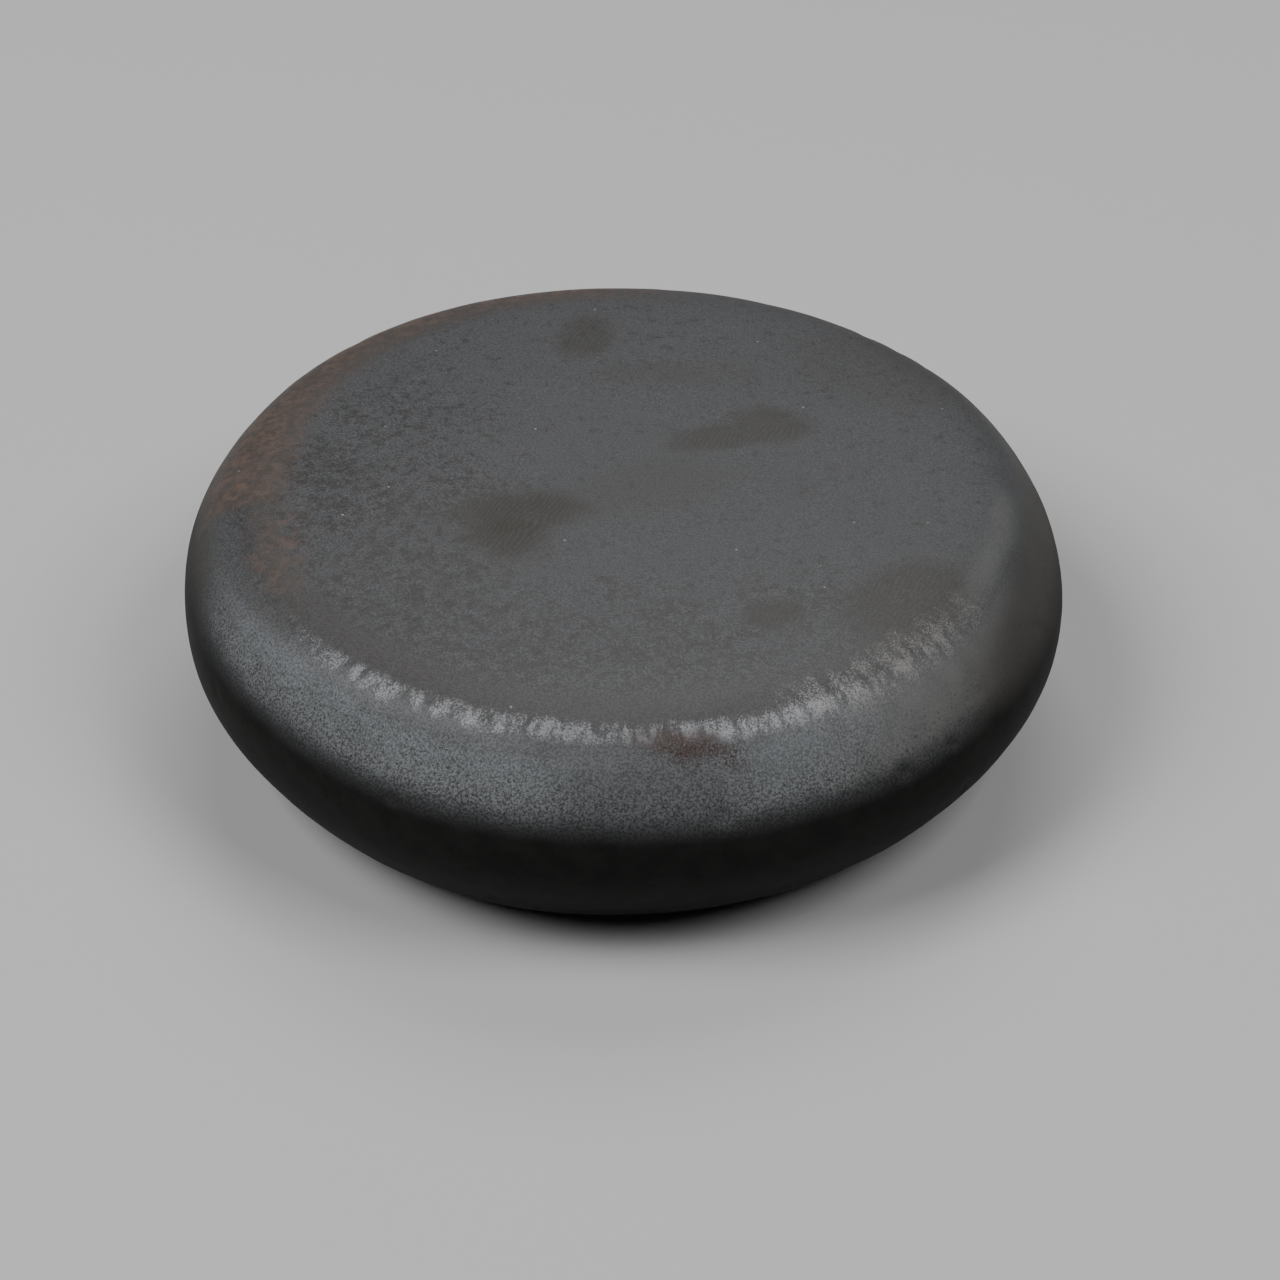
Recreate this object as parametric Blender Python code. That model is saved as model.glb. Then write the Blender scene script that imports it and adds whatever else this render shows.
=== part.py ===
"""Basalt massage stone: one solid, water-worn and polished pebble.

Metres, +Z up.  The origin is the middle of the flat that the stone rests on,
+X is to its right and +Y to its back.

The skin is a soft intersection of worn flats round one heart point: a crown,
a base, a girdle and two bevels that run all the way round, and a few local
flats that wear has left.  Each flat holds the skin in, and EDGE_TIGHTNESS says
how tightly the edges between the flats are rounded.
"""
import math

import bmesh
import bpy
from mathutils import Vector

NAME = "basalt_stone"
COLLECTION = "basalt_massage_stone"

# Driving dimensions: the finished stone's box
STONE_WIDTH = 0.0860
STONE_DEPTH = 0.0888
STONE_HEIGHT = 0.0265

# How far the middle of the crown and of the base stands proud of a true flat
CROWN_RISE = 0.0016
BASE_RISE = 0.0014

# The rest flat is ground this far up into the swell of the base
FOOT_CUT = 0.0004

EDGE_TIGHTNESS = 15.0

# Flats that run all the way round: tilt above the horizontal, distance from the heart
ROUND_FLATS = (
    (math.radians(90), 0.0110),
    (math.radians(45), 0.0352),
    (math.radians(0), 0.0455),
    (math.radians(-45), 0.0342),
    (math.radians(-90), 0.0126),
)

# Local flats: heading in plan from +X, tilt above the horizontal, distance from the heart
LOCAL_FLATS = (
    (math.radians(-128), math.radians(42), 0.0378),
    (math.radians(-64), math.radians(40), 0.0382),
    (math.radians(-8), math.radians(38), 0.0404),
    (math.radians(72), math.radians(44), 0.0410),
    (math.radians(158), math.radians(36), 0.0412),
    (math.radians(-171), math.radians(4), 0.0452),
    (math.radians(40), math.radians(-38), 0.0372),
    (math.radians(-138), math.radians(-18), 0.0446),
)

# The cage is a cube whose edges are cut this many times
CAGE_CUTS = 21

# Polished basalt, as linear colour
STONE_COLOUR = (0.052, 0.054, 0.056, 1.0)
STONE_ROUGHNESS = 0.55


def clear_scene():
    for item in list(bpy.data.objects):
        bpy.data.objects.remove(item, do_unlink=True)


def cage_direction(corner):
    """Way out from the heart to a cage corner, spread evenly over a flattened ball."""
    ball = corner.normalized()
    flattened = Vector((ball.x * STONE_WIDTH, ball.y * STONE_WIDTH, ball.z * STONE_HEIGHT))
    return flattened.normalized()


def flat_hold(outward, upward, tilt, distance):
    """How firmly one flat holds the skin in, along a way out from the heart."""
    reach = math.cos(tilt) * outward + math.sin(tilt) * upward
    return max(reach / distance, 0.0) ** EDGE_TIGHTNESS


def skin_point(direction):
    """Where the skin lies along a way out from the heart."""
    outward = math.hypot(direction.x, direction.y)
    hold = sum(flat_hold(outward, direction.z, tilt, distance) for tilt, distance in ROUND_FLATS)
    for heading, tilt, distance in LOCAL_FLATS:
        outward = math.cos(heading) * direction.x + math.sin(heading) * direction.y
        hold += flat_hold(outward, direction.z, tilt, distance)
    return direction * hold ** (-1.0 / EDGE_TIGHTNESS)


def swelled(point):
    """A skin point with the crown and the base raised into shallow domes."""
    from_axis = math.hypot(point.x, point.y) / (STONE_WIDTH / 2)
    fade = max(1.0 - from_axis ** 2, 0.0)
    rise = CROWN_RISE if point.z > 0.0 else -BASE_RISE
    return Vector((point.x, point.y, point.z + rise * fade))


def grind_foot(cage):
    """Level the lowest skin into the flat that the stone rests on."""
    foot = min(vert.co.z for vert in cage.verts) + FOOT_CUT
    for vert in cage.verts:
        vert.co.z = max(vert.co.z, foot)


def fit_to_size(cage):
    """Bring the stone to its driving dimensions, standing on z = 0 over the origin."""
    size = (STONE_WIDTH, STONE_DEPTH, STONE_HEIGHT)
    seat = (-STONE_WIDTH / 2, -STONE_DEPTH / 2, 0.0)
    for axis in range(3):
        values = [vert.co[axis] for vert in cage.verts]
        low = min(values)
        scale = size[axis] / (max(values) - low)
        for vert in cage.verts:
            vert.co[axis] = (vert.co[axis] - low) * scale + seat[axis]


def stone_material():
    material = bpy.data.materials.new("basalt")
    material.use_nodes = True
    shader = material.node_tree.nodes["Principled BSDF"]
    shader.inputs["Base Color"].default_value = STONE_COLOUR
    shader.inputs["Roughness"].default_value = STONE_ROUGHNESS
    shader.inputs["Metallic"].default_value = 0.0
    return material


def build_stone(collection):
    cage = bmesh.new()
    bmesh.ops.create_cube(cage, size=2.0)
    bmesh.ops.subdivide_edges(cage, edges=cage.edges[:], cuts=CAGE_CUTS, use_grid_fill=True)
    for vert in cage.verts:
        vert.co = swelled(skin_point(cage_direction(vert.co)))
    grind_foot(cage)
    fit_to_size(cage)
    mesh = bpy.data.meshes.new(NAME)
    cage.to_mesh(mesh)
    cage.free()
    mesh.shade_smooth()
    mesh.materials.append(stone_material())
    collection.objects.link(bpy.data.objects.new(NAME, mesh))


clear_scene()
parts = bpy.data.collections.new(COLLECTION)
bpy.context.scene.collection.children.link(parts)
build_stone(parts)
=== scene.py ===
"""Looks of the basalt massage stone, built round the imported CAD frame.

Metres, +Z up, in the frame's own place: the stone rests on z = 0 over the origin,
+X to its right and +Y to its back.
"""
import math

import bmesh
import bpy
import numpy as np
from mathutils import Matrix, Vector, noise


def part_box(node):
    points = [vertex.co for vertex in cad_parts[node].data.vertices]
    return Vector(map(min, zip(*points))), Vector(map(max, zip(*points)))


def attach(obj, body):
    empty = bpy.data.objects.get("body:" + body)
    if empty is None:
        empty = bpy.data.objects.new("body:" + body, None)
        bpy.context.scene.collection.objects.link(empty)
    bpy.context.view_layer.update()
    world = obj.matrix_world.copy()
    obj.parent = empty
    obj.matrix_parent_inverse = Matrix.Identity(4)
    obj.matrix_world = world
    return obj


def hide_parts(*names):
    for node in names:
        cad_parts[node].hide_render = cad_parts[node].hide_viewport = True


MM = 0.001

# ---------------------------------------------------------------- form
# The same worn flats that shape the CAD stone, in metres and radians.
EDGE_TIGHTNESS = 15.0
CROWN_RISE = 1.6 * MM
BASE_RISE = 1.4 * MM
FOOT_CUT = 0.4 * MM

# Flats that run all the way round: tilt above the horizontal, distance from the heart
ROUND_FLATS = (
    (math.radians(90), 11.0 * MM),
    (math.radians(45), 35.2 * MM),
    (math.radians(0), 45.5 * MM),
    (math.radians(-45), 34.2 * MM),
    (math.radians(-90), 12.6 * MM),
)

# Local flats: heading in plan from +X, tilt above the horizontal, distance from the heart
LOCAL_FLATS = (
    (math.radians(-128), math.radians(42), 37.8 * MM),
    (math.radians(-64), math.radians(40), 38.2 * MM),
    (math.radians(-8), math.radians(38), 40.4 * MM),
    (math.radians(72), math.radians(44), 41.0 * MM),
    (math.radians(158), math.radians(36), 41.2 * MM),
    (math.radians(-171), math.radians(4), 45.2 * MM),
    (math.radians(40), math.radians(-38), 37.2 * MM),
    (math.radians(-138), math.radians(-18), 44.6 * MM),
)

# The fine skin: squares across the crown, and rows up the rim
CROWN_SQUARES = 160
RIM_ROWS = 72
SAME_LEVEL = 1e-6

# Relief worn and etched into the skin: size of its lumps, and depth
SWELLS = (26 * MM, 0.16 * MM)
DIMPLES = (6.5 * MM, 0.045 * MM)
RIPPLES = (2.2 * MM, 0.014 * MM)

# Loose pits: how many, smallest and largest radius, depth for its radius
PIT_COUNT = 260
PIT_RADII = (0.5 * MM, 1.3 * MM)
PIT_DEPTH = 0.05
PIT_SEED = 11

# ---------------------------------------------------------------- colours and marks
BARE_DARK = (0.026, 0.0255, 0.025, 1)
BARE_LIGHT = (0.051, 0.0495, 0.048, 1)
FILM_DARK = (0.040, 0.0405, 0.042, 1)
FILM_LIGHT = (0.086, 0.0885, 0.093, 1)
RING_DARK = (0.041, 0.0395, 0.0385, 1)
RING_LIGHT = (0.071, 0.067, 0.066, 1)
# Bloomed film on the slope, lightened as painted sheen; the first colour is painted shade where the slope
# turns away from the lamps.
BLOOM_PAINTED_SHADE = (0.068, 0.068, 0.063, 1)
BLOOM_SHEEN_DARK = (0.100, 0.106, 0.110, 1)
BLOOM_SHEEN_WARM = (0.132, 0.130, 0.126, 1)
BLOOM_SHEEN_LIGHT = (0.190, 0.202, 0.212, 1)
WARM = (0.053, 0.050, 0.046, 1)
COPPER_DARK = (0.062, 0.050, 0.044, 1)
COPPER_LIGHT = (0.118, 0.080, 0.065, 1)
GREASE = (0.032, 0.0275, 0.0210, 1)
# Frosted flecks, pale partly as worn stone and partly as painted highlight on the shoulder.
FROST_AND_HIGHLIGHT = (0.250, 0.256, 0.268, 1)
FROST_AND_HIGHLIGHT_WARM = (0.200, 0.193, 0.184, 1)
IRON = (0.040, 0.017, 0.012, 1)
# Painted shade in the pores of the slope, and the colour of the stone's own dark spots.
PORE_SHADE_AND_SPOT_DARK = (0.020, 0.020, 0.019, 1)
DUST = (0.22, 0.22, 0.21, 1)
# Painted shade: the underside is coloured darker than the stone, so that it stays dark however it is lit.
UNDERSIDE_SHADE_DARK = (0.0105, 0.0105, 0.0100, 1)
UNDERSIDE_SHADE_LIGHT = (0.0150, 0.0145, 0.0138, 1)

# Marks seen in plan, in millimetres and degrees: x, y, half length, half width, turn
GREASE_STRONG = (
    (-9.4, -6.9, 6.4, 3.0, 4),
    (-10.6, -9.4, 5.2, 3.6, 100),
)
GREASE_CORE = (-10.6, -9.4, 3.2, 2.2, 20)
GREASE_FAINT = (
    (-3.8, 26.0, 4.6, 2.8, 80),
    (26.0, -20.0, 7.4, 4.4, 40),
    (14.5, 8.2, 4.2, 3.2, 0),
    (8.5, 5.8, 4.6, 2.4, 20),
    (13.5, -23.0, 2.6, 2.2, 0),
)
GREASE_FILM = (
    (26.0, 20.0, 9.5, 7.5, -30),
    (5.0, 18.0, 9.0, 2.6, 4),
    (3.0, -3.0, 8.0, 4.0, 15),
)
COPPER_PATCHES = ((-32.2, -12.0, 7.5, 2.6, 95),)
IRON_SPOTS = ((5.4, -39.1, 4.2, 1.0, 3),)
DARK_SPOTS = ((37.0, -11.6, 3.8, 1.3, 72), (-6.5, -39.6, 1.2, 0.5, 0))
DULL_SLOPE = (2.0, -42.0, 8.5, 4.5, 0)
RIDGE_PITCH = 0.48 * MM

# ---------------------------------------------------------------- camera and room
CAMERA_TILT = math.radians(35)
CAMERA_DISTANCE = 0.3252
CAMERA_LENS = 92.8
AIM_RIGHT = 1.64 * MM
AIM_BELOW = 5.70 * MM

# Softboxes: name, heading in plan from +X, height above the horizontal, distance, size, power
SOFTBOXES = (
    ("left", math.radians(-155), math.radians(50), 1.0, (0.5, 0.5), 7.0),
    ("right", math.radians(-28), math.radians(53), 1.0, (0.5, 0.5), 4.8),
    ("back", math.radians(82), math.radians(56), 1.0, (0.6, 0.5), 3.2),
)
ROOM_LIGHT = 0.02
FLOOR_COLOUR = (0.55, 0.55, 0.55, 1)
FLOOR_REACH = 3.0


def flat_hold(outward, upward, tilt, distance):
    """How firmly one flat holds the skin in, along each way out from the heart."""
    reach = math.cos(tilt) * outward + math.sin(tilt) * upward
    return np.maximum(reach / distance, 0.0) ** EDGE_TIGHTNESS


def skin_points(ways):
    """Where the skin lies along each way out from the heart."""
    x, y, z = ways.T
    outward = np.hypot(x, y)
    hold = sum(flat_hold(outward, z, tilt, distance) for tilt, distance in ROUND_FLATS)
    for heading, tilt, distance in LOCAL_FLATS:
        outward = math.cos(heading) * x + math.sin(heading) * y
        hold = hold + flat_hold(outward, z, tilt, distance)
    return ways * (hold ** (-1.0 / EDGE_TIGHTNESS))[:, None]


def swelled(points, width):
    """The skin with the crown and the base raised into shallow domes."""
    from_axis = np.hypot(points[:, 0], points[:, 1]) / (width / 2)
    fade = np.maximum(1.0 - from_axis ** 2, 0.0)
    rise = np.where(points[:, 2] > 0.0, CROWN_RISE, -BASE_RISE)
    raised = points.copy()
    raised[:, 2] += rise * fade
    return raised


def cage():
    """A cube cut into fine squares: even across the crown and the base, in rows up the rim."""
    box = bmesh.new()
    bmesh.ops.create_cube(box, size=2.0)
    uprights = [edge for edge in box.edges if edge.verts[0].co.z != edge.verts[1].co.z]
    bmesh.ops.subdivide_edges(box, edges=uprights, cuts=RIM_ROWS - 1, use_grid_fill=True)
    levels = [edge for edge in box.edges if abs(edge.verts[0].co.z - edge.verts[1].co.z) < SAME_LEVEL]
    bmesh.ops.subdivide_edges(box, edges=levels, cuts=CROWN_SQUARES - 1, use_grid_fill=True)
    return box


def mesh_points(mesh):
    points = np.empty(len(mesh.vertices) * 3)
    mesh.vertices.foreach_get("co", points)
    return points.reshape(-1, 3)


def mesh_normals(mesh):
    normals = np.empty(len(mesh.vertices) * 3)
    mesh.vertices.foreach_get("normal", normals)
    return normals.reshape(-1, 3)


def set_points(mesh, points):
    mesh.vertices.foreach_set("co", points.ravel())
    mesh.update()


def lumps(points, size, offset):
    """Smooth noise from -1 to 1 over the skin, with lumps of about the given size."""
    shift = Vector((offset, offset * 0.7, -offset))
    return np.array([noise.noise(Vector(point) / size + shift) for point in points])


def pits(points, normals):
    """Depth of the loose pits over the skin."""
    draw = np.random.default_rng(PIT_SEED)
    depth = np.zeros(len(points))
    for centre in draw.integers(len(points), size=PIT_COUNT):
        radius = draw.uniform(*PIT_RADII)
        near = np.sum((points - points[centre]) ** 2, axis=1) / radius ** 2
        depth += radius * PIT_DEPTH * np.exp(-2.0 * near)
    return depth


def wear_skin(mesh):
    """Press the relief into the skin along its normals."""
    points = mesh_points(mesh)
    normals = mesh_normals(mesh)
    relief = -pits(points, normals)
    for offset, (size, depth) in enumerate((SWELLS, DIMPLES, RIPPLES)):
        relief = relief + depth * lumps(points, size, 3.0 * offset + 1.3)
    set_points(mesh, points + normals * relief[:, None])


def grind_foot(mesh):
    """Level the lowest skin into the flat that the stone rests on."""
    points = mesh_points(mesh)
    foot = points[:, 2].min() + FOOT_CUT
    points[:, 2] = np.maximum(points[:, 2], foot)
    set_points(mesh, points)


def fit_to_box(mesh, low, high):
    """Bring the skin to the CAD stone's box."""
    points = mesh_points(mesh)
    from_low = points.min(axis=0)
    span = points.max(axis=0) - from_low
    set_points(mesh, (points - from_low) / span * (high - low) + low)


def build_stone(low, high):
    size = high - low
    mesh = bpy.data.meshes.new("polished_stone")
    box = cage()
    box.to_mesh(mesh)
    box.free()
    corners = mesh_points(mesh)
    ball = corners / np.linalg.norm(corners, axis=1)[:, None]
    flattened = ball * np.array((size[0], size[0], size[2]))
    ways = flattened / np.linalg.norm(flattened, axis=1)[:, None]
    set_points(mesh, swelled(skin_points(ways), size[0]))
    wear_skin(mesh)
    grind_foot(mesh)
    fit_to_box(mesh, low, high)
    mesh.shade_smooth()
    stone = bpy.data.objects.new("polished_stone", mesh)
    bpy.context.scene.collection.objects.link(stone)
    return stone


# ---------------------------------------------------------------- material

class Graph:
    """Adds and links the nodes of one material."""

    def __init__(self, name):
        self.material = bpy.data.materials.new(name)
        self.material.use_nodes = True
        self.tree = self.material.node_tree
        self.shader = self.tree.nodes["Principled BSDF"]

    def set(self, socket, value):
        if isinstance(value, bpy.types.NodeSocket):
            self.tree.links.new(value, socket)
        else:
            socket.default_value = value

    def add(self, kind, inputs=(), **settings):
        node = self.tree.nodes.new(kind)
        for name, value in settings.items():
            setattr(node, name, value)
        for name, value in dict(inputs).items():
            self.set(node.inputs[name], value)
        return node

    def math(self, operation, first, second=0.0):
        node = self.add("ShaderNodeMath", operation=operation)
        self.set(node.inputs[0], first)
        self.set(node.inputs[1], second)
        return node.outputs[0]

    def product(self, first, *others):
        for other in others:
            first = self.math("MULTIPLY", first, other)
        return first

    def most(self, first, *others):
        for other in others:
            first = self.math("MAXIMUM", first, other)
        return first

    def without(self, value):
        return self.math("SUBTRACT", 1.0, value)

    def vector(self, operation, first, second=(0, 0, 0)):
        node = self.add("ShaderNodeVectorMath", operation=operation)
        self.set(node.inputs[0], first)
        self.set(node.inputs[1], second)
        return node.outputs["Value"] if operation == "LENGTH" else node.outputs[0]

    def noise(self, place, lump, detail=2.0, roughness=0.5):
        """Noise from 0 to 1 with lumps of about the given size in metres."""
        inputs = {"Vector": place, "Scale": 1.0 / lump, "Detail": detail, "Roughness": roughness}
        return self.add("ShaderNodeTexNoise", inputs).outputs["Fac"]

    def stirred(self, place, lump, shift):
        """The place moved about by noise, which makes a plain outline ragged."""
        inputs = {"Vector": place, "Scale": 1.0 / lump, "Detail": 3.0}
        wander = self.add("ShaderNodeTexNoise", inputs).outputs["Color"]
        centred = self.vector("SUBTRACT", wander, (0.5, 0.5, 0.5))
        return self.vector("ADD", place, self.vector("MULTIPLY", centred, (shift, shift, shift)))

    def fade(self, value, start, end, low=0.0, high=1.0):
        """low where value is at start, high where it is at end, smooth between."""
        node = self.add("ShaderNodeMapRange", interpolation_type="SMOOTHSTEP")
        for name, number in zip(("Value", "From Min", "From Max", "To Min", "To Max"),
                                (value, start, end, low, high)):
            self.set(node.inputs[name], number)
        return node.outputs[0]

    def band(self, value, rise, full, fall, gone):
        """1 from full to fall, fading to nothing at rise and at gone."""
        return self.product(self.fade(value, rise, full), self.fade(value, fall, gone, 1.0, 0.0))

    def within(self, place, mark, soft):
        """1 inside an oval mark seen in plan, fading out over the share soft of its size."""
        x, y, half_length, half_width, turn = mark
        inputs = {"Vector": place, "Location": (x * MM, y * MM, 0), "Rotation": (0, 0, math.radians(turn)),
                  "Scale": (half_length * MM, half_width * MM, 1.0)}
        local = self.add("ShaderNodeMapping", inputs, vector_type="TEXTURE").outputs[0]
        return self.fade(self.vector("LENGTH", local), 1.0 - soft, 1.0 + soft, 1.0, 0.0)

    def dots(self, place, spacing, radius, share):
        """Round dots scattered at about the given spacing, in the given share of the cells."""
        cells = self.add("ShaderNodeTexVoronoi", {"Vector": place, "Scale": 1.0 / spacing})
        draw = self.add("ShaderNodeSeparateXYZ", {"Vector": cells.outputs["Color"]}).outputs["X"]
        size = radius / spacing
        dot = self.fade(cells.outputs["Distance"], 0.6 * size, size, 1.0, 0.0)
        return self.product(dot, self.math("LESS_THAN", draw, share))

    def dissolved(self, grain, density):
        """Grain that is thick where density is 1 and thins out to nothing where it is 0."""
        thick = self.fade(self.math("ADD", grain, self.product(density, 0.15)), 0.52, 0.82)
        return self.product(thick, self.fade(density, 0.0, 0.4))

    def any_of(self, place, marks, soft):
        return self.most(*(self.within(place, mark, soft) for mark in marks))

    def tint(self, colour, other, amount):
        """colour turned towards other by amount."""
        node = self.add("ShaderNodeMix", data_type="RGBA")
        self.set(node.inputs["Factor"], amount)
        self.set(node.inputs[6], colour)
        self.set(node.inputs[7], other)
        return node.outputs[2]


class Skin:
    """Where a point of the stone lies, as sockets for the masks."""

    def __init__(self, graph, half_width, half_depth):
        coordinates = graph.add("ShaderNodeTexCoord")
        self.place = coordinates.outputs["Object"]
        self.ragged = graph.stirred(self.place, 3.0 * MM, 2.6 * MM)
        self.wavy = graph.stirred(self.place, 2.4 * MM, 0.9 * MM)
        axes = graph.add("ShaderNodeSeparateXYZ", {"Vector": self.place})
        self.right, self.back, _ = axes.outputs
        facing = graph.add("ShaderNodeSeparateXYZ", {"Vector": coordinates.outputs["Normal"]})
        self.upturn = facing.outputs["Z"]
        flat = graph.vector("DIVIDE", self.wavy, (half_width, half_depth, 1.0))
        flat = graph.vector("MULTIPLY", flat, (1.0, 1.0, 0.0))
        self.reach = graph.vector("LENGTH", flat)
        outward = graph.vector("NORMALIZE", flat)
        around = graph.vector("MULTIPLY", outward, (half_width, half_width, half_width))
        # stretched outward, so that noise read there runs in short streaks across the shoulder
        self.radial = graph.vector("ADD", around, graph.vector("MULTIPLY", self.place, (0.6, 0.6, 0.6)))
        # Above the painted shade of the belly: 1 over the slope and crown, 0 beneath.
        self.top = graph.fade(self.upturn, 0.2, 0.5)
        self.front = graph.fade(self.back, -4 * MM, -26 * MM)
        self.left = graph.fade(self.right, 6 * MM, -20 * MM)
        patchy = graph.fade(graph.noise(self.place, 8 * MM, 2.0), 0.35, 0.65, 0.55, 1.0)
        behind = graph.fade(self.back, -4 * MM, 20 * MM, 1.0, 0.45)
        left = graph.product(graph.fade(self.right, -2 * MM, -20 * MM), behind)
        self.worn = graph.product(graph.most(left, graph.fade(self.back, -10 * MM, -26 * MM)), patchy)


def film_cover(graph, skin):
    """How much of the bluish film is left: whole at the centre, lacy at the left and front."""
    lace = graph.noise(skin.place, 1.1 * MM, 6.0, 0.8)
    hold = graph.fade(skin.worn, 0.0, 1.0, 0.10, 0.01)
    cover = graph.fade(graph.math("ADD", lace, hold), 0.45, 0.56)
    return graph.most(cover, graph.fade(skin.reach, 0.84, 0.89))


def ring_cover(graph, skin):
    """The bare ring just inside the shoulder, at the left and front."""
    ring = graph.band(skin.reach, 0.75, 0.80, 0.83, 0.88)
    sides = graph.most(skin.front, skin.left)
    return graph.product(ring, sides, graph.fade(skin.right, 34 * MM, 20 * MM), 0.85)


def frost_and_highlight_cover(graph, skin, salt):
    """Silvery flecks along the shoulder at the front, in clumps that dissolve into salt-fine dots: partly
    worn, frosted stone and partly a painted highlight of the lamps on the shoulder's edge.
    """
    narrow = graph.band(skin.reach, 0.838, 0.862, 0.874, 0.900)
    broad = graph.band(skin.reach, 0.77, 0.86, 0.88, 0.92)
    wide = graph.product(broad, graph.fade(skin.right, 8 * MM, 20 * MM), 0.75)
    at_right = graph.fade(skin.right, 34 * MM, 40 * MM, 0.0, 0.5)
    ahead = graph.most(graph.fade(skin.back, -14 * MM, -27 * MM), at_right)
    place = graph.product(ahead, graph.fade(skin.back, -8 * MM, -18 * MM),
                          graph.fade(skin.right, -34 * MM, -22 * MM))
    clumps = graph.fade(graph.noise(skin.radial, 2.0 * MM, 5.0, 0.75), 0.36, 0.62)
    return graph.dissolved(salt, graph.product(graph.most(narrow, wide), place, clumps, 1.7))


def bloom_and_sheen_cover(graph, skin):
    """Paler bloomed film on the slope below the shoulder, partly real and partly painted sheen where the
    slope catches the lamps, and a thin painted sheen on the shoulder at the right.
    """
    slope = graph.band(skin.upturn, 0.33, 0.50, 0.60, 0.90)
    ahead = graph.fade(skin.back, -4 * MM, -26 * MM)
    sides = graph.fade(skin.right, 44 * MM, 33 * MM, 0.4, 1.0)
    strip = graph.band(skin.upturn, 0.58, 0.68, 0.82, 0.92)
    middle = graph.product(graph.fade(skin.right, -30 * MM, -14 * MM),
                           graph.fade(skin.right, 10 * MM, 30 * MM, 1.0, 0.3))
    dull = graph.product(graph.within(skin.ragged, DULL_SLOPE, 0.4), 0.5)
    thin = graph.most(graph.product(strip, middle, 0.45), dull)
    cloud = graph.fade(graph.noise(skin.place, 3.2 * MM, 3.0, 0.6), 0.3, 0.7, 0.8, 1.1)
    on_slope = graph.product(slope, ahead, sides, graph.without(thin), cloud)
    # Painted sheen: the right lamp's reflection on the shoulder, laid on as paler colour.
    shoulder = graph.product(graph.band(skin.reach, 0.80, 0.85, 0.86, 0.90),
                             graph.fade(skin.right, 27 * MM, 33 * MM))
    return graph.most(on_slope, graph.product(shoulder, graph.fade(skin.back, 2 * MM, -5 * MM), 0.4))


def warm_edge(graph, skin):
    """Warmer bare stone along the edge at the back and both sides."""
    behind = graph.product(graph.fade(skin.reach, 0.80, 0.93), graph.fade(skin.back, 4 * MM, 24 * MM))
    right = graph.product(graph.fade(skin.upturn, 0.80, 0.50), graph.fade(skin.right, 28 * MM, 37 * MM))
    left = graph.product(graph.fade(skin.upturn, 0.82, 0.45), graph.fade(skin.right, -32 * MM, -38 * MM))
    return graph.most(behind, right, graph.product(left, graph.fade(skin.back, -18 * MM, -6 * MM)))


def stone_colour(graph, skin, marks):
    # On the slope the grain's wider contrast partly stands in for glints: painted highlight.
    coarse = graph.most(skin.worn, marks["bevel"])
    spread = graph.fade(coarse, 0.0, 1.0, 0.19, 0.06)
    grain = graph.fade(graph.noise(skin.place, 0.21 * MM, 3.0, 0.8),
                       graph.math("SUBTRACT", 0.5, spread), graph.math("ADD", 0.5, spread))
    colour = graph.tint(BARE_DARK, BARE_LIGHT, grain)
    colour = graph.tint(colour, graph.tint(FILM_DARK, FILM_LIGHT, grain), marks["film"])
    colour = graph.tint(colour, graph.tint(RING_DARK, RING_LIGHT, grain), marks["ring"])
    # The bloomed film darkens towards the steeper slope as painted shade, its bright grain stands in for
    # glints, and at the right it turns warmer as painted sheen.
    bloom_toward_painted_shade = graph.tint(BLOOM_PAINTED_SHADE, BLOOM_SHEEN_DARK, graph.fade(skin.upturn, 0.42, 0.66))
    bloom_and_sheen = graph.tint(bloom_toward_painted_shade, BLOOM_SHEEN_LIGHT, grain)
    bloom_and_sheen = graph.tint(bloom_and_sheen, BLOOM_SHEEN_WARM, graph.fade(skin.right, 16 * MM, 28 * MM, 0.0, 0.8))
    colour = graph.tint(colour, bloom_and_sheen, marks["bloom_and_sheen"])
    colour = graph.tint(colour, WARM, marks["warm_edge"])
    streaks = graph.fade(graph.noise(skin.wavy, 1.2 * MM, 5.0, 0.8), 0.40, 0.62)
    colour = graph.tint(colour, graph.tint(COPPER_DARK, COPPER_LIGHT, streaks), marks["copper"])
    colour = graph.tint(colour, GREASE, marks["grease"])
    # The flecks' pale colour is partly worn stone and partly painted highlight.
    frost_and_highlight = graph.tint(FROST_AND_HIGHLIGHT, FROST_AND_HIGHLIGHT_WARM, graph.fade(skin.right, 12 * MM, 26 * MM))
    colour = graph.tint(colour, frost_and_highlight, marks["frost_and_highlight"])
    colour = graph.tint(colour, IRON, marks["iron"])
    # Painted shade darkens the pores; the dark spots are the stone's own.
    colour = graph.tint(colour, PORE_SHADE_AND_SPOT_DARK, marks["pits"])
    colour = graph.tint(colour, DUST, marks["glints"])
    stains = graph.fade(graph.noise(skin.place, 2.6 * MM, 5.0, 0.7), 0.35, 0.65)
    # Beneath the slope the colour turns to the painted shade of the belly, mottled by noise.
    return graph.tint(graph.tint(UNDERSIDE_SHADE_DARK, UNDERSIDE_SHADE_LIGHT, stains), colour, skin.top)


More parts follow.
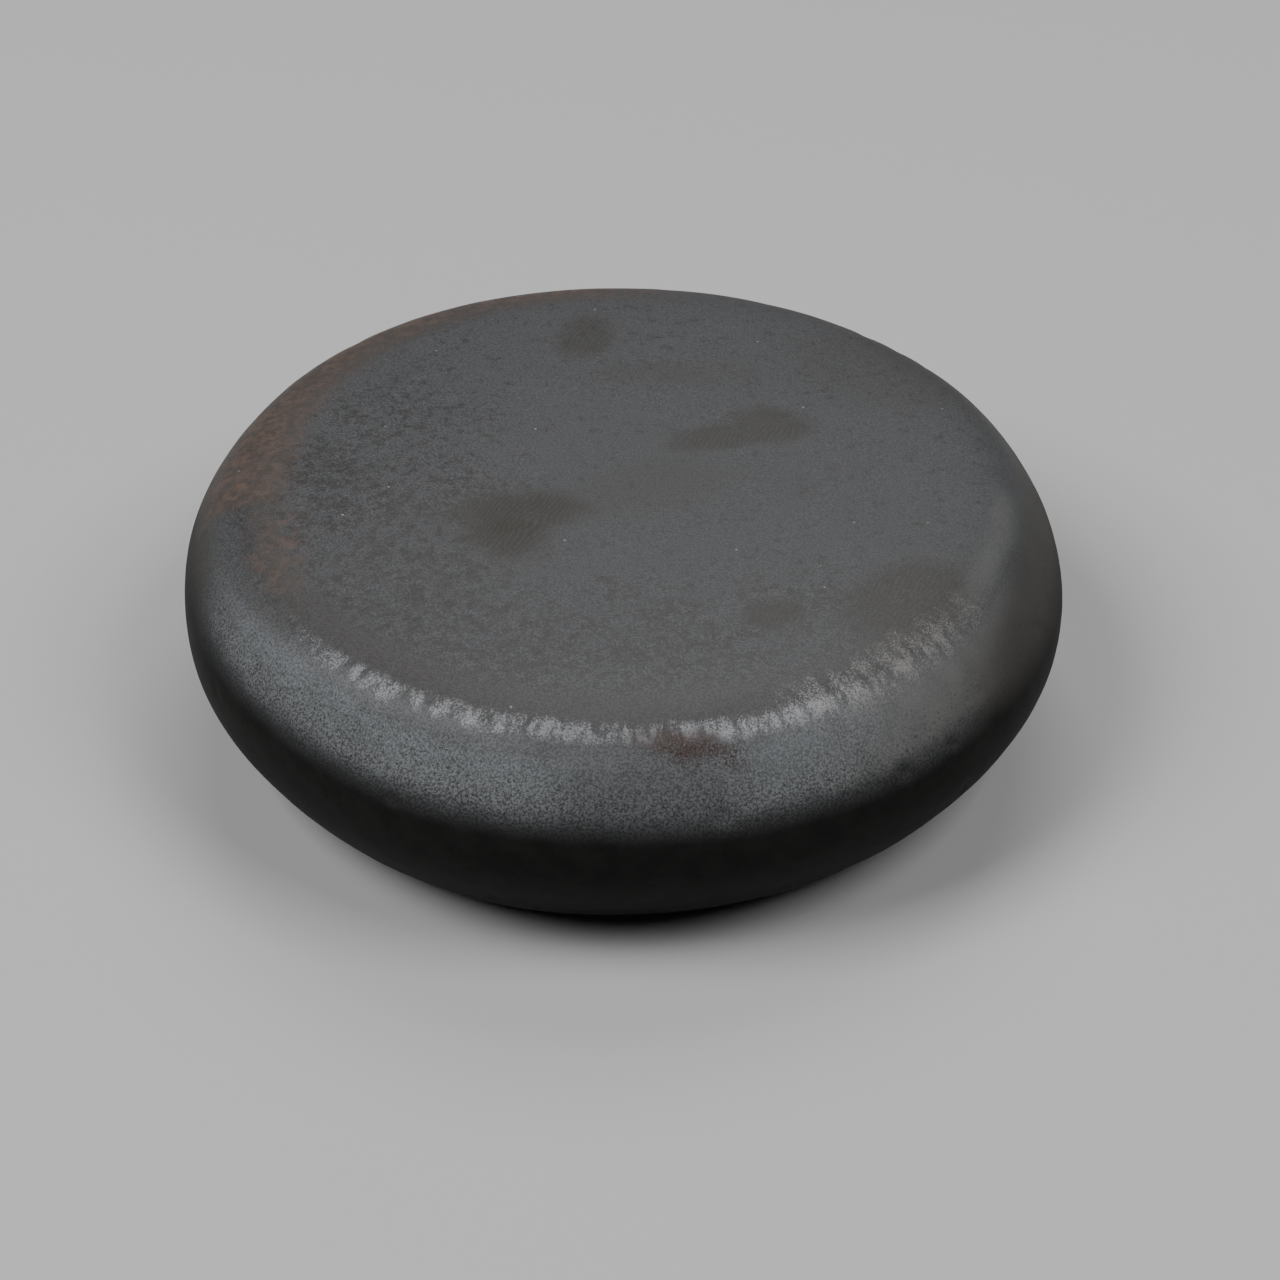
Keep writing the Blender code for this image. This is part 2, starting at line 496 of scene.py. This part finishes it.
def copper_cover(graph, skin):
    """The copper stain along the left edge, cut off sharply at its front end."""
    narrowing = graph.fade(skin.back, 2 * MM, 30 * MM, 0.0, 0.05)
    inside = graph.math("SUBTRACT", skin.reach, narrowing)
    edge = graph.product(graph.fade(inside, 0.70, 0.82), graph.fade(skin.upturn, 0.30, 0.80))
    along = graph.product(graph.fade(skin.right, 10 * MM, -4 * MM),
                          graph.fade(skin.back, -4.5 * MM, -3.0 * MM))
    blotches = graph.fade(graph.noise(skin.place, 1.6 * MM, 4.0, 0.7), 0.38, 0.60)
    patches = graph.product(graph.any_of(skin.ragged, COPPER_PATCHES, 0.6), blotches, 0.65)
    return graph.most(graph.product(edge, along, graph.fade(blotches, 0.0, 1.0, 0.65, 1.0)), patches)


def ridges(graph, place, turn):
    """Fine lines left by the skin of a finger, from 0 to 1."""
    turned = graph.add("ShaderNodeVectorRotate", {"Vector": place, "Angle": math.radians(turn)},
                       rotation_type="Z_AXIS").outputs[0]
    across = graph.add("ShaderNodeSeparateXYZ", {"Vector": turned}).outputs["X"]
    wave = graph.math("SINE", graph.product(across, math.tau / RIDGE_PITCH))
    return graph.fade(wave, -1.0, 1.0)


def grease_cover(graph, skin, salt):
    """Finger grease: strong at the left, faint elsewhere, ruled with the lines of the skin."""
    swept = graph.stirred(skin.place, 7 * MM, 3.5 * MM)
    lines = graph.fade(ridges(graph, swept, 25), 0.0, 1.0, 0.65, 1.0)
    strong = graph.product(graph.any_of(skin.ragged, GREASE_STRONG, 0.5), 0.85)
    core = graph.within(skin.ragged, GREASE_CORE, 0.9)
    dotted = graph.product(graph.most(strong, graph.product(core, 1.15)),
                           graph.fade(salt, 0.35, 0.60, 0.8, 1.25))
    faint = graph.product(graph.any_of(skin.ragged, GREASE_FAINT, 0.4), 0.58)
    film = graph.product(graph.any_of(skin.ragged, GREASE_FILM, 0.4), 0.2)
    return graph.product(graph.most(dotted, faint, film), lines)


def surface_marks(graph, skin):
    """Every mask that colours or roughens the stone, by name."""
    salt = graph.noise(skin.place, 0.18 * MM, 2.0, 0.8)
    smoother = graph.fade(skin.right, -22 * MM, 4 * MM, 0.0, 0.14)
    bevel = graph.product(graph.fade(graph.math("ADD", skin.upturn, smoother), 0.84, 0.58), skin.top)
    pores = graph.product(graph.dots(skin.place, 0.42 * MM, 0.13 * MM, 0.6), bevel)
    dark = graph.dissolved(salt, graph.any_of(skin.ragged, DARK_SPOTS, 0.7))
    return {
        "film": film_cover(graph, skin),
        "ring": ring_cover(graph, skin),
        "warm_edge": warm_edge(graph, skin),
        "copper": copper_cover(graph, skin),
        "grease": grease_cover(graph, skin, salt),
        "frost_and_highlight": frost_and_highlight_cover(graph, skin, salt),
        "bloom_and_sheen": bloom_and_sheen_cover(graph, skin),
        "iron": graph.dissolved(salt, graph.product(graph.any_of(skin.ragged, IRON_SPOTS, 0.7), 1.5)),
        # Painted shade in the pores of the slope, with the real dark spots.
        "pits": graph.most(graph.product(pores, 0.55), graph.product(dark, 0.5)),
        "glints": graph.dots(skin.place, 3.4 * MM, 0.16 * MM, 0.5),
        "bevel": bevel,
        "pores": pores,
        "salt": salt,
    }


def basalt(half_width, half_depth):
    graph = Graph("basalt")
    skin = Skin(graph, half_width, half_depth)
    marks = surface_marks(graph, skin)
    graph.set(graph.shader.inputs["Base Color"], stone_colour(graph, skin, marks))
    roughness = graph.fade(marks["film"], 0.0, 1.0, 0.46, 0.54)
    graph.set(graph.shader.inputs["Roughness"], graph.fade(marks["frost_and_highlight"], 0.0, 1.0, roughness, 0.36))
    graph.set(graph.shader.inputs["Specular IOR Level"], graph.fade(skin.upturn, 0.35, 0.9, 0.04, 0.5))
    rise = graph.fade(marks["bevel"], 0.0, 1.0, 0.020, 0.085)
    height = graph.math("SUBTRACT", marks["salt"], graph.product(marks["pores"], 0.5))
    relief = {"Height": graph.product(height, rise), "Strength": 1.0, "Distance": MM}
    bump = graph.add("ShaderNodeBump", relief)
    graph.set(graph.shader.inputs["Normal"], bump.outputs[0])
    return graph.material


def floor_material():
    graph = Graph("floor")
    graph.set(graph.shader.inputs["Base Color"], FLOOR_COLOUR)
    graph.set(graph.shader.inputs["Roughness"], 0.9)
    return graph.material


# ---------------------------------------------------------------- room

def build_floor():
    mesh = bpy.data.meshes.new("floor")
    plane = bmesh.new()
    bmesh.ops.create_grid(plane, x_segments=1, y_segments=1, size=FLOOR_REACH)
    plane.to_mesh(mesh)
    plane.free()
    mesh.materials.append(floor_material())
    floor = bpy.data.objects.new("floor", mesh)
    bpy.context.scene.collection.objects.link(floor)


def aim(item, target):
    item.rotation_euler = (target - item.location).to_track_quat("-Z", "Y").to_euler()


def softbox(name, place, size, power, target):
    light = bpy.data.lights.new(name, "AREA")
    light.shape = "RECTANGLE"
    light.size, light.size_y = size
    light.energy = power
    lamp = bpy.data.objects.new(name, light)
    lamp.location = place
    bpy.context.scene.collection.objects.link(lamp)
    aim(lamp, target)


def build_light(heart):
    """Broad soft light from the left, from the right and from behind."""
    for name, heading, height, distance, size, power in SOFTBOXES:
        level = distance * math.cos(height)
        place = heart + Vector((level * math.cos(heading), level * math.sin(heading),
                                distance * math.sin(height)))
        softbox(name, place, size, power, heart)
    world = bpy.data.worlds.new("room")
    world.use_nodes = True
    world.node_tree.nodes["Background"].inputs["Color"].default_value = (1, 1, 1, 1)
    world.node_tree.nodes["Background"].inputs["Strength"].default_value = ROOM_LIGHT
    bpy.context.scene.world = world


def build_camera(heart):
    toward = Vector((0.0, math.cos(CAMERA_TILT), -math.sin(CAMERA_TILT)))
    above = Vector((0.0, math.sin(CAMERA_TILT), math.cos(CAMERA_TILT)))
    lens = bpy.data.cameras.new("camera")
    lens.lens = CAMERA_LENS
    lens.sensor_width = 36.0
    lens.clip_start = 0.01
    camera = bpy.data.objects.new("camera", lens)
    camera.location = heart - toward * CAMERA_DISTANCE
    bpy.context.scene.collection.objects.link(camera)
    aim(camera, heart + Vector((AIM_RIGHT, 0, 0)) - above * AIM_BELOW)
    bpy.context.scene.camera = camera


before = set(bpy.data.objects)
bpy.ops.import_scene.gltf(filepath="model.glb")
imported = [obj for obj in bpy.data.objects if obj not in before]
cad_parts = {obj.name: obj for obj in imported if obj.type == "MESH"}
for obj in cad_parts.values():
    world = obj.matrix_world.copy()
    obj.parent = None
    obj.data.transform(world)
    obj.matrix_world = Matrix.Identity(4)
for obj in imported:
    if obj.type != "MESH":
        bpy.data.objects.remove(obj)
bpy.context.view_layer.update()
low_corner, high_corner = (np.array(corner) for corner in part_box("basalt_stone"))
stone_heart = Vector((low_corner + high_corner) / 2)

polished = build_stone(low_corner, high_corner)
polished.data.materials.append(basalt(high_corner[0], high_corner[1]))
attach(polished, "root")
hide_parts("basalt_stone")

build_floor()
build_light(stone_heart)
build_camera(stone_heart)
